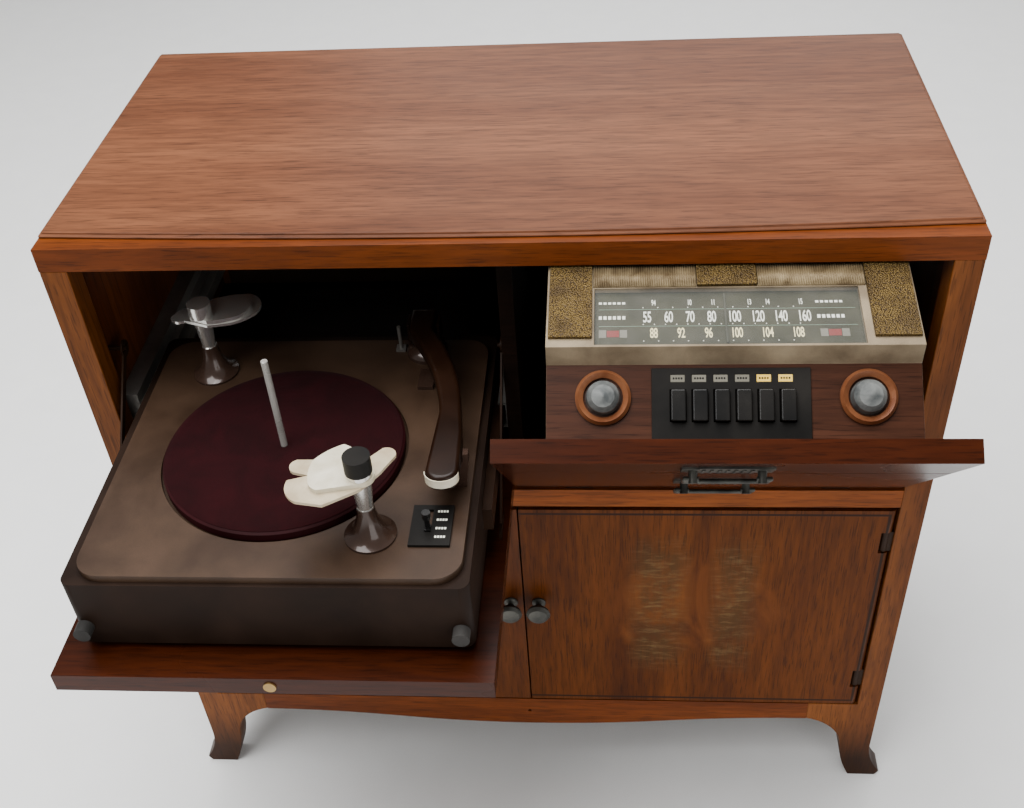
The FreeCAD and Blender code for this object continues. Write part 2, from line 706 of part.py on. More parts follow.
key_rise = 14
for i in range(6):
    key = new_body(f"station_key_{i + 1}")
    pad(key, "XY", key_rise, [rounded_rectangle(0, 0, dim("key_width"), dim("key_length"), as_size(1.5))])
    fillet(key, 1.2, lambda edge: edge.ZMin > key_rise - 0.01)
    node(seat(key, [radio_frame], at=(dim("key_left") + dim("key_pitch") * i, b(dim("key_front")),
                                      a(dim("panel_top")) - 6)))

rings = []
for name, x in (("volume", dim("volume_x")), ("tuning", dim("tuning_x"))):
    rings.append(turned(name + "_ring", [(dim("ring_bore"), 0), (dim("ring_radius"), 0),
                                         (dim("ring_radius"), 3),
                                         (dim("ring_radius") - 2.5, 6), (dim("ring_bore"), 3)],
                        (x, b(dim("control_back")), a(dim("panel_top")))))
node(seat(together("knob_rings", rings), [radio_frame]))
for name, x in (("volume_knob", dim("volume_x")), ("tuning_knob", dim("tuning_x"))):
    knob = turned(name, [(0, -18), (dim("shaft_radius"), -18), (dim("shaft_radius"), 0.6),
                         (dim("dome_radius") + 1.5, 0.6), (dim("dome_radius"), 9), (dim("dome_radius") - 4,
                                                                                    13),
                         (0, 14.5)], (0, 0, 0))
    node(seat(knob, [radio_frame], at=(x, b(dim("control_back")), a(dim("panel_top")))))

glass_size = (dim("window_right") - dim("window_left"), dim("window_high") - dim("window_low"), 1.5)
node(seat(box("dial_glass", glass_size, (0, 0, 0)), [radio_frame, dial_frame],
          at=(dim("window_left"), dim("window_low"), -2.5)))
node(seat(box("dial_backplate", (248, 69.5, 1.2), (0, 0, 0)), [radio_frame, dial_frame], at=(83, 2.4, -7.7)))
node(seat(box("dial_pointer", (1.6, 58, 1), (0, 0, 0)), [radio_frame, dial_frame], at=(205.2, 8, -5.4)))
node(seat(together("radio_escutcheon", [
    box("left_block", (dim("window_left") - dim("radio_left") - 4, dim("dial_length") - dim("block_low"),
                       3.5),
        (dim("radio_left") + 2, dim("block_low"), 0)),
    box("right_block", (dim("radio_right") - dim("window_right") - 9, dim("dial_length") - dim("block_low"),
                        3.5),
        (dim("window_right") + 7, dim("block_low"), 0)),
    box("middle_block", (53.5, 27, 3.5), (182, dim("window_high") + 1, 0)),
]), [radio_frame, dial_frame]))
trim = [box(f"trim_strip_{i}", (right - left, 26, 2.4), (left, dim("window_high") + 1, 0))
        for i, (left, right) in enumerate(((89, 181.5), (236, 330.5)), start=1)]
node(seat(together("dial_trim", trim), [radio_frame, dial_frame]))
chassis_parts = [box("chassis_pan", (270, 135, 50), (75, b(35), a(18)))]
for i in range(5):
    chassis_parts.append(cylinder(f"valve_{i + 1}", 15, 88, (105 + 42 * i, b(140), a(68))))
chassis_parts.append(box("tuning_condenser", (70, 45, 55), (240, b(50), a(68))))
node(seat(fuse("radio_chassis", chassis_parts), [radio_frame]))

# ---------------------------------------------------------------- turntable drawer
deck_z = dim("deck_top")
platter_y = front + dim("platter_o")
drawer_base = new_body("drawer_base")
pad(drawer_base, "XY", dim("drawer_top") - dim("drawer_bottom"),
    [rounded_rectangle(dim("drawer_left"), front + dim("drawer_front"), dim("drawer_right"),
                       front + dim("drawer_back"), as_size(10))], offset=dim("drawer_bottom"))
wall = dim("drawer_wall")
pocket(drawer_base, "XY", dim("drawer_top") - dim("drawer_bottom") - dim("drawer_floor"),
       [rectangle(dim("drawer_left") + wall, front + dim("drawer_front") + wall, dim("drawer_right") - wall,
                  front + dim("drawer_back") - wall)], offset=dim("drawer_top"))
node(drawer_base)
node(together("drawer_bumpers", [
    cylinder(f"bumper_{i + 1}", 8, 12, (x, front + dim("drawer_front") - 12, 589), "Y")
    for i, x in enumerate((-377, -29))]))

idler_x = dim("platter_x") + dim("rim_inner") - dim("idler_radius") - dim("contact_gap")
pulley_y = platter_y + dim("idler_radius") + dim("pulley_radius") + dim("contact_gap")
deck = new_body("deck_plate")
pad(deck, "XY", deck_z - dim("drawer_top"),
    [rounded_rectangle(dim("deck_left"), front + dim("deck_front"), dim("deck_right"),
                       front + dim("deck_back"),
                       dim("deck_corner"))], offset=dim("drawer_top"))
pocket(deck, "XY", deck_z - dim("well_floor"), [], [(dim("platter_x"), platter_y, dim("well_radius"))],
       offset=deck_z)
pocket(deck, "XY", 10, [], [(idler_x, pulley_y, 3)], offset=dim("well_floor") + 1)
node(deck)


def slide_bar(label, x, side):
    """The drawer's half of a slide, running inside its channel."""
    return box(label, (9.5, dim("drawer_back") - dim("drawer_front") - 125, slide_inside - 0.8),
               (x if side > 0 else x - 9.5, front + dim("drawer_front") + 120,
                dim("slide_bottom") + dim("slide_lip") + 0.4))


node(together("drawer_runners", [slide_bar("left_bar", dim("drawer_left"), -1),
                                 slide_bar("right_bar", dim("drawer_right"), 1)]))
node(cut("motor", cylinder("motor_case", 40, 58, (idler_x, pulley_y, dim("drawer_top") - 58)),
         [cylinder("motor_bearing", 2.05, 20, (idler_x, pulley_y, dim("drawer_top") - 12))]))
node(turned("motor_pulley", [(0, -10), (2, -10), (2, 4.5), (dim("pulley_radius"), 4.5),
                             (dim("pulley_radius"), 10),
                             (0, 10)], (idler_x, pulley_y, dim("drawer_top"))))
node(turned("idler_wheel", [(3.05, 3.2), (dim("idler_radius"), 3.2), (dim("idler_radius"), 7), (3.05, 7)],
            (idler_x, platter_y, dim("well_floor"))))
node(turned("turntable", [(3.65, 4), (14, 4), (14, 9), (dim("rim_inner"), 9), (dim("rim_inner"), 2.5),
                          (dim("platter_radius"), 2.5), (dim("platter_radius"), 10.5), (116, 12.5), (3.65,
                                                                                                     12.5)],
            (dim("platter_x"), platter_y, dim("well_floor"))))
node(turned("turntable_mat", [(3.65, 0), (116, 0), (116, 1.5), (3.65, 1.5)],
            (dim("platter_x"), platter_y, dim("platter_top"))))
spindle_height = dim("spindle_top") - dim("well_floor")
node(turned("spindle", [(0, 0), (12, 0), (12, 3.6), (dim("spindle_radius"), 3.6),
                        (dim("spindle_radius"), spindle_height - 0.7), (2.6, spindle_height),
                        (0, spindle_height)],
            (dim("platter_x"), platter_y, dim("well_floor"))))

front_post = (-111.5, front - 183)
rear_post = (-314.5, front + 53)
arm_post = (-91, front + 85)
post_top = 67
node(together("selector_posts", [
    turned(name, [(0, 0), (24, 0), (24, 2.5), (14, 13, -24), (8, 36, -60), (7, 37), (9.5, post_top - 0.2),
                  (4, post_top - 0.2), (4, post_top + 11), (0, post_top + 11)],
           (place[0], place[1], deck_z))
    for name, place in (("front_post_base", front_post), ("rear_post_base", rear_post))]))


def selector(label, place, low_plate, shield, hub, knob_radius, knob_length):
    """Two stacked plates that hold up the records, with a hub and the knob that turns them on their post."""
    body = new_body(label)
    plate, top_plate = 3, 5
    hub_bottom = post_top + plate + top_plate
    pad(body, "XY", plate, [low_plate], [(0, 0, 4.05)], offset=post_top)
    pad(body, "XY", top_plate, [shield], [(0, 0, 4.05)], offset=post_top + plate)
    pad(body, "XY", hub, [], [(0, 0, knob_radius - 0.8)], offset=hub_bottom)
    pad(body, "XY", knob_length, [], [(0, 0, knob_radius)], offset=hub_bottom + hub)
    pocket(body, "XY", 10, [], [(0, 0, 4.05)], offset=post_top + 12)
    return put(body, (place[0], place[1], deck_z))


node(selector("front_selector", front_post,
              [(2, -13), (16, 8), (27, 30), (14, 39, 9), (-6, 16), (-42, 24), (-60, 24), (-60, 8, 8.5),
               (-46, 4),
               (-64, -2), (-52, -28, 22), (-28, -32)],
              [(4, -11), (12, 6, 12), (-20, 39, 60), (-44, 18, 60), (-44, -8, 50),
               (-34, -19, 14)], 5, 12.2, 17))
node(selector("rear_selector", rear_post,
              [(8, -12), (30, -8), (54, 10, 50), (40, 44, 24), (8, 34, 60), (-22, 20, 60), (-34, 2, 30),
               (-18, -3, 10)],
              [(8, -11), (36, -4, 90), (48, 14, 24), (36, 36, 24), (6, 28, 60), (-8, 12, 60), (-11, -4, 13)],
              4, 12, 11))

plate_y = front - 198
lever_plate = new_body("control_plate")
pad(lever_plate, "XY", 3, [rectangle(-76, plate_y, -38.5, plate_y + 50),
                           rectangle(-63, plate_y + 16, -57, plate_y + 44)], offset=deck_z)
arm_rest = new_body("arm_rest")
rest_y = front - 121
pad_y(arm_rest, rest_y, 8, [[(-66, 653), (-30, 653), (-26, 684.5), (-26, 694), (-31, 694), (-31, 684.5),
                             (-64, 684.5), (-64, 680), (-54, 670)]])
arm_base = turned("arm_base", [(0, 0), (22, 0), (22, 4), (14, 12, 20), (14, 16), (5, 16), (5, 26), (0, 26)],
                  (arm_post[0], arm_post[1], deck_z))
idler_pin = cylinder("idler_pin", 3, 8.5, (idler_x, platter_y, dim("well_floor")))
idler_washer = cylinder("idler_washer", 7, 2.9, (idler_x, platter_y, dim("well_floor")))
trip = box("trip_plate", (16, 30, 4), (-94, front + 36 - 15, deck_z))
hook = fuse("record_hook", [cylinder("hook_stem", 2, 30, (-120, front + 90, deck_z)),
                            box("hook_foot", (10, 10, 3), (-125, front + 85, deck_z))])
node(together("deck_fittings", [lever_plate, arm_rest, arm_base,
                                fuse("idler_axle", [idler_pin, idler_washer]),
                                trip, hook]))
lever = fuse("reject_lever", [box("lever_shoe", (5, 8, 4), (-62.5, plate_y + 17, deck_z)),
                              box("lever_handle", (4, 4, 12), (-62, plate_y + 19, deck_z + 4)),
                              cylinder("lever_tip", 4, 7, (-60, plate_y + 21, deck_z + 16))])
node(lever)

yoke = cut("tonearm_yoke", fuse("yoke_solid", [
    cylinder("yoke_hub", 13, 9, (0, 0, 16.5)),
    box("yoke_left", (3, 20, 26), (-17, -10, 16.5)),
    box("yoke_right", (3, 20, 26), (14, -10, 16.5)),
    box("yoke_bridge", (34, 20, 3), (-17, -10, 16.5))]), [
        cylinder("yoke_bore", 5.05, 60, (0, 0, 0)),
        cylinder("yoke_cross_bore", 2.05, 60, (-30, 0, 36), "X")])
node(put(yoke, (arm_post[0], arm_post[1], deck_z)))

arm = new_body("arm_shell")
pad(arm, "XY", 15, [[(-13, 14), (-13, -20), (33, -150, -300), (29, -232), (44, -243, 14), (59, -232, 14),
                     (58, -180), (54, -150), (13, -20, 300), (13, 14)]], offset=32)
fillet(arm, 4, lambda edge: edge.ZMin > 46.9)
arm_solid = fuse("arm_solid", [
    arm, cylinder("arm_axle", 2, 34, (-17, 0, 36), "X"),
    box("cartridge", (14, 22, 6), (36, -234, 27)),
    cone("stylus", 0.6, 2, 6, (43, -224, 21))])
node(put(cut("tonearm", arm_solid, [cylinder("arm_relief", 8, 10, (0, 0, 24))]),
         (arm_post[0], arm_post[1], deck_z)))

# ---------------------------------------------------------------- lower doors
lower_height = dim("lower_door_top") - dim("lower_door_bottom")


def lower_door(label, side, meet):
    body = new_body(label)
    axis_x = side * (door_side - dim("pivot"))
    face, inner, edge = -dim("pivot"), dim("lower_door_back"), side * dim("pivot")
    reach = meet - axis_x
    if side > 0:
        outline = [(0, face), (edge, 0, dim("pivot")), (edge, inner), (reach, inner), (reach, face)]
    else:
        outline = [(edge, 0), (0, face, dim("pivot")), (reach, face), (reach, inner), (edge, inner)]
    pad(body, "XY", lower_height, [outline])
    near, far = (-6, 7) if side > 0 else (-7, 6)
    for height in lower_hinges:
        z = height - dim("lower_door_bottom")
        room = dim("knuckle") + 2
        pocket(body, "XY", room, [rectangle(near, -7, far, dim("notch"))], offset=z + room / 2)
        pocket(body, "XY", room + 20, [], [(0, 0, dim("pin_radius") + dim("running_gap"))],
               offset=z + room / 2 + 10)
    return put(body, (axis_x, pivot_y, dim("lower_door_bottom")))


def door_knob(label, x):
    return turned(label, [(0, 0), (8, 0), (8, -2), (3.5, -5, 6), (3.5, -13), (12.5, -15), (14, -19),
                          (11, -23),
                          (0, -25)][::-1], (x, front, dim("knob_height")), "Y")


node(lower_door("left_door_panel", -1, dim("door_meet") - 0.9))
node(door_knob("left_door_knob", -14))
node(lower_door("right_door_panel", 1, dim("door_meet") + 0.9))
node(door_knob("right_door_knob", 19))

# ---------------------------------------------------------------- hand over
doc.recompute()
faults = [o.Label for o in doc.Objects if "Invalid" in o.State or "Error" in o.State]
faults += [o.Label for o in nodes if o.Shape.isNull() or not o.Shape.isValid()]
if faults:
    raise RuntimeError("unsound: " + ", ".join(faults))
os.makedirs("parts", exist_ok=True)
for item in nodes:
    item.Shape.exportStep(f"parts/{item.Label}.step")
whole = nodes[0].Shape.BoundBox
for item in nodes[1:]:
    whole.add(item.Shape.BoundBox)
print(len(nodes), "pieces", whole)
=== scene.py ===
"""Looks for the radio phonograph console: finishes for every CAD node, and fine pieces that CAD leaves out.
Metres, in the CAD's own frame."""
import json
import math

import bmesh
import bpy
from mathutils import Matrix, Vector


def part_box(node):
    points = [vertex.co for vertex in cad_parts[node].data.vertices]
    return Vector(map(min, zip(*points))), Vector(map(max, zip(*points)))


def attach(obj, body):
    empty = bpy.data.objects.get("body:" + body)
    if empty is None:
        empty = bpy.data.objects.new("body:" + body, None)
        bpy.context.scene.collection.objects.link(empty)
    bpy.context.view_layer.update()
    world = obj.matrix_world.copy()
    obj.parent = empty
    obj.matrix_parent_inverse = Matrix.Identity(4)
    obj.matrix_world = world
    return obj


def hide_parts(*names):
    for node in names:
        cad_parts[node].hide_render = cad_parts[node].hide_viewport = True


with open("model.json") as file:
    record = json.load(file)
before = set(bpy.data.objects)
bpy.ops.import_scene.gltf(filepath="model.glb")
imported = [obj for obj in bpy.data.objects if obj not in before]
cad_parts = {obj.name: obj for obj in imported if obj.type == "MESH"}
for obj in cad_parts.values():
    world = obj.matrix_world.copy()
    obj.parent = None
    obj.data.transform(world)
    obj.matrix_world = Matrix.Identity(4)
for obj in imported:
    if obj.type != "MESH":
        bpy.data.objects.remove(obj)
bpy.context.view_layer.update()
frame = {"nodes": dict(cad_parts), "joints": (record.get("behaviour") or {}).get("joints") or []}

nodes = frame["nodes"]
joints = {j["name"]: j for j in frame["joints"]}
MM = 0.001


# ---------------------------------------------------------------- shader building
class Shader:
    """A node material with short names for the pieces that every finish here uses."""

    def __init__(self, name, roughness=0.5, metallic=0.0, **fixed):
        self.material = bpy.data.materials.new(name)
        self.material.use_nodes = True
        self.tree = self.material.node_tree
        self.surface = self.tree.nodes["Principled BSDF"]
        self.surface.inputs["Roughness"].default_value = roughness
        self.surface.inputs["Metallic"].default_value = metallic
        for socket, value in fixed.items():
            self.surface.inputs[socket.replace("_", " ")].default_value = value
        self.place = self.add("ShaderNodeTexCoord").outputs["Object"]

    def add(self, kind, **settings):
        node = self.tree.nodes.new(kind)
        for key, value in settings.items():
            setattr(node, key, value)
        return node

    def link(self, value, socket):
        if isinstance(value, bpy.types.NodeSocket):
            self.tree.links.new(value, socket)
        else:
            socket.default_value = value

    def stretched(self, scale, shift=(0, 0, 0)):
        mapping = self.add("ShaderNodeMapping")
        mapping.inputs["Scale"].default_value = scale
        mapping.inputs["Location"].default_value = shift
        self.link(self.place, mapping.inputs["Vector"])
        return mapping.outputs["Vector"]

    def noise(self, scale, detail=4.0, stretch=(1, 1, 1), distortion=0.0, roughness=0.55, shift=(0, 0, 0)):
        node = self.add("ShaderNodeTexNoise")
        self.link(self.stretched(stretch, shift), node.inputs["Vector"])
        node.inputs["Scale"].default_value = scale
        node.inputs["Detail"].default_value = detail
        node.inputs["Distortion"].default_value = distortion
        node.inputs["Roughness"].default_value = roughness
        return node.outputs["Fac"]

    def cells(self, scale, feature="F1", stretch=(1, 1, 1)):
        node = self.add("ShaderNodeTexVoronoi", feature=feature)
        self.link(self.stretched(stretch), node.inputs["Vector"])
        node.inputs["Scale"].default_value = scale
        return node.outputs["Distance"]

    def ramp(self, value, *stops):
        node = self.add("ShaderNodeValToRGB")
        ramp = node.color_ramp
        while len(ramp.elements) < len(stops):
            ramp.elements.new(0.5)
        for element, (position, colour) in zip(ramp.elements, stops):
            element.position = position
            element.color = (*colour, 1) if isinstance(colour, tuple) else (colour, colour, colour, 1)
        self.link(value, node.inputs["Fac"])
        return node.outputs["Color"]

    def math(self, operation, first, second=0.0):
        node = self.add("ShaderNodeMath", operation=operation)
        self.link(first, node.inputs[0])
        self.link(second, node.inputs[1])
        return node.outputs[0]

    def between(self, value, low, high, soft=0.0004):
        """1 between two places along an axis, 0 outside, with a soft edge."""
        rise = self.step(value, low, soft)
        fall = self.step(value, high, soft)
        return self.math("SUBTRACT", rise, fall)

    def step(self, value, edge, soft):
        node = self.add("ShaderNodeMapRange")
        self.link(value, node.inputs["Value"])
        node.inputs["From Min"].default_value = edge - soft
        node.inputs["From Max"].default_value = edge + soft
        return node.outputs["Result"]

    def axis(self, letter):
        node = self.add("ShaderNodeSeparateXYZ")
        self.link(self.place, node.inputs[0])
        return node.outputs[letter]

    def mix(self, amount, first, second, blend="MIX"):
        node = self.add("ShaderNodeMix", data_type="RGBA", blend_type=blend)
        self.link(amount, node.inputs["Factor"])
        for socket, value in ((node.inputs[6], first), (node.inputs[7], second)):
            self.link((*value, 1) if isinstance(value, tuple) else value, socket)
        return node.outputs[2]

    def colour(self, value):
        self.link((*value, 1) if isinstance(value, tuple) else value, self.surface.inputs["Base Color"])

    def rough(self, value):
        self.link(value, self.surface.inputs["Roughness"])

    def bump(self, height, strength=0.3, distance=0.0005):
        node = self.add("ShaderNodeBump")
        node.inputs["Strength"].default_value = strength
        node.inputs["Distance"].default_value = distance
        self.link(height, node.inputs["Height"])
        self.link(node.outputs["Normal"], self.surface.inputs["Normal"])


GRAIN = {"X": (0.09, 1, 1), "Y": (1, 0.09, 1), "Z": (1, 1, 0.09)}


def wood_grain(shader, dark, light, grain):
    """Colour of straight-grained wood: broad figure, fine streaks and dark open pores."""
    long_way = GRAIN[grain]
    figure = shader.noise(9, 5, long_way, distortion=0.6)
    streaks = shader.noise(170, 4, long_way)
    base = shader.ramp(figure, (0.32, dark), (0.68, light))
    fine = shader.ramp(streaks, (0.35, 0.62), (0.62, 1.0))
    wood = shader.mix(0.85, base, fine, "MULTIPLY")
    pores = shader.noise(620, 2, tuple(0.05 if v < 1 else 1 for v in long_way))
    return shader.mix(0.55, wood, shader.ramp(pores, (0.36, 0.3), (0.44, 1.0)), "MULTIPLY"), pores


def wood(name, dark, light, grain="X", roughness=0.36, coat=0.02, foot=0.0):
    """Satin-finished wood. Below the height called foot it is darkened, most towards the bottom."""
    shader = Shader(name, Coat_Weight=coat, Coat_Roughness=0.3, Specular_IOR_Level=0.09)
    colour, pores = wood_grain(shader, dark, light, grain)
    smudge = shader.noise(3.2, 4, distortion=0.4)
    colour = shader.mix(0.35, colour, shader.ramp(smudge, (0.3, 0.7), (0.7, 1.0)), "MULTIPLY")
    if foot:
        colour = shader.mix(0.9, colour, shader.ramp(shader.axis("Z"), (foot * 0.3, 0.12), (foot, 1.0)),
                            "MULTIPLY")
    shader.colour(colour)
    spread = shader.add("ShaderNodeMapRange")
    shader.link(smudge, spread.inputs["Value"])
    spread.inputs["To Min"].default_value = roughness - 0.08
    spread.inputs["To Max"].default_value = roughness + 0.16
    shader.rough(spread.outputs["Result"])
    shader.bump(pores, 0.12, 0.0003)
    return shader.material


def veneered_door(name, dark, light, centre_x, centre_z):
    """Crotch veneer in an oval with two weathered, crazed bands, and a dark bead near the edges."""
    shader = Shader(name, roughness=0.4, Coat_Weight=0.02, Coat_Roughness=0.3, Specular_IOR_Level=0.07)
    plain, pores = wood_grain(shader, dark, light, "Z")
    x, z = shader.axis("X"), shader.axis("Z")
    across = shader.math("DIVIDE", shader.math("SUBTRACT", x, centre_x), 0.142)
    upward = shader.math("DIVIDE", shader.math("SUBTRACT", z, centre_z), 0.124)
    radius = shader.math("ADD", shader.math("POWER", across, 2.0), shader.math("POWER", upward, 2.0))
    ragged = shader.math("ADD", radius, shader.math("MULTIPLY", shader.noise(14, 5), 0.9))
    oval = shader.ramp(ragged, (0.72, 1.0), (1.0, 0.0))
    flame = shader.ramp(shader.noise(10, 6, (1.6, 1, 0.5), distortion=1.8),
                        (0.3, (0.050, 0.0115, 0.0020)), (0.7, (0.175, 0.0500, 0.0080)))
    veneer = shader.mix(shader.math("MULTIPLY", oval, 0.9), plain, flame)
    left = shader.between(x, centre_x - 0.070, centre_x - 0.014, 0.012)
    right = shader.between(x, centre_x + 0.022, centre_x + 0.066, 0.010)
    tall = shader.between(z, centre_z - 0.105, centre_z + 0.108, 0.02)
    crazed = shader.ramp(shader.noise(26, 7, (1, 1, 0.8), roughness=0.75), (0.36, 0.15), (0.58, 0.8))
    bands = shader.math("MULTIPLY", shader.math("MULTIPLY", shader.math("ADD", left, right), tall), crazed)
    flecks = shader.ramp(shader.noise(95, 5, (0.45, 1, 2.2), distortion=0.4, roughness=0.6),
                         (0.48, (0.062, 0.0300, 0.0090)), (0.72, (0.150, 0.095, 0.038)))
    worn = shader.mix(bands, veneer, flecks)
    low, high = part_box("right_door_panel")
    inset = 0.005
    inside = shader.math("MULTIPLY", shader.between(x, low.x - 0.02, high.x - inset),
                         shader.between(z, low.z + inset, high.z - inset))
    core = shader.math("MULTIPLY", shader.between(x, low.x - 0.02, high.x - inset - 0.003),
                       shader.between(z, low.z + inset + 0.003, high.z - inset - 0.003))
    bead = shader.math("SUBTRACT", inside, core)
    shader.colour(shader.mix(bead, worn, (0.02, 0.008, 0.004)))
    shader.bump(shader.math("ADD", pores, shader.math("MULTIPLY", bands, 1.5)), 0.3, 0.0004)
    return shader.material


def painted(name, colour, dust=None, roughness=0.5, metallic=0.0, grit=0.15, coat=0.0, scale=1.0, gloss=0.3):
    """Enamel, moulded plastic or plated metal, a little uneven in colour and gloss."""
    shader = Shader(name, metallic=metallic, Coat_Weight=coat, Specular_IOR_Level=gloss)
    dust = dust or tuple(min(1.0, v * 1.45 + 0.006) for v in colour)
    clouds = shader.noise(14 * scale, 6, distortion=0.3)
    specks = shader.noise(900 * scale, 2)
    shade = shader.ramp(clouds, (0.35, colour), (0.75, dust))
    shader.colour(shader.mix(0.3, shade, shader.ramp(specks, (0.3, 0.6), (0.6, 1.0)), "MULTIPLY"))
    spread = shader.add("ShaderNodeMapRange")
    shader.link(clouds, spread.inputs["Value"])
    spread.inputs["To Min"].default_value = max(0.04, roughness - 0.12)
    spread.inputs["To Max"].default_value = min(1.0, roughness + 0.12)
    shader.rough(spread.outputs["Result"])
    shader.bump(specks, grit, 0.0002)
    return shader.material


def hammered(name, low, high, scale=760):
    """Pebbled gold paint, dark in the hollows."""
    shader = Shader(name, roughness=0.42, metallic=0.65)
    pits = shader.cells(scale)
    patches = shader.noise(40, 5)
    gold = shader.ramp(pits, (0.15, high), (0.75, low))
    shader.colour(shader.mix(shader.ramp(patches, (0.45, 0.0), (0.7, 0.75)), gold, low))
    shader.bump(pits, 0.8, -0.0008)
    return shader.material


def flock(name, dark, light):
    """Short dense pile, lying in soft patches."""
    shader = Shader(name, roughness=0.95, Sheen_Weight=0.04, Sheen_Roughness=0.4, Specular_IOR_Level=0.1)
    tufts = shader.noise(1500, 3)
    lie = shader.noise(22, 4, distortion=1.0)
    shader.colour(shader.mix(0.6, shader.ramp(lie, (0.35, dark), (0.7, light)),
                             shader.ramp(tufts, (0.3, 0.5), (0.65, 1.0)), "MULTIPLY"))
    shader.bump(tufts, 0.7, 0.0005)
    return shader.material


def woven(name, dark, light):
    """Plain weave of upright and level threads."""
    shader = Shader(name, roughness=0.9, Sheen_Weight=0.2)
    warp = shader.add("ShaderNodeTexWave", bands_direction="X")
    weft = shader.add("ShaderNodeTexWave", bands_direction="Z")
    for wave in (warp, weft):
        shader.link(shader.place, wave.inputs["Vector"])
        wave.inputs["Scale"].default_value = 260
        wave.inputs["Distortion"].default_value = 0.4
    threads = shader.math("MAXIMUM", warp.outputs["Fac"], weft.outputs["Fac"])
    shader.colour(shader.ramp(threads, (0.3, dark), (0.8, light)))
    shader.bump(threads, 0.5, 0.0003)
    return shader.material


def glass(name):
    """Thin clear cover with a faint smear."""
    shader = Shader(name, roughness=0.16, Alpha=0.03, IOR=1.45, Specular_IOR_Level=0.2)
    smear = shader.noise(60, 4)
    shader.colour(shader.ramp(smear, (0.4, (0.55, 0.6, 0.58)), (0.7, (0.8, 0.82, 0.8))))
    return shader.material


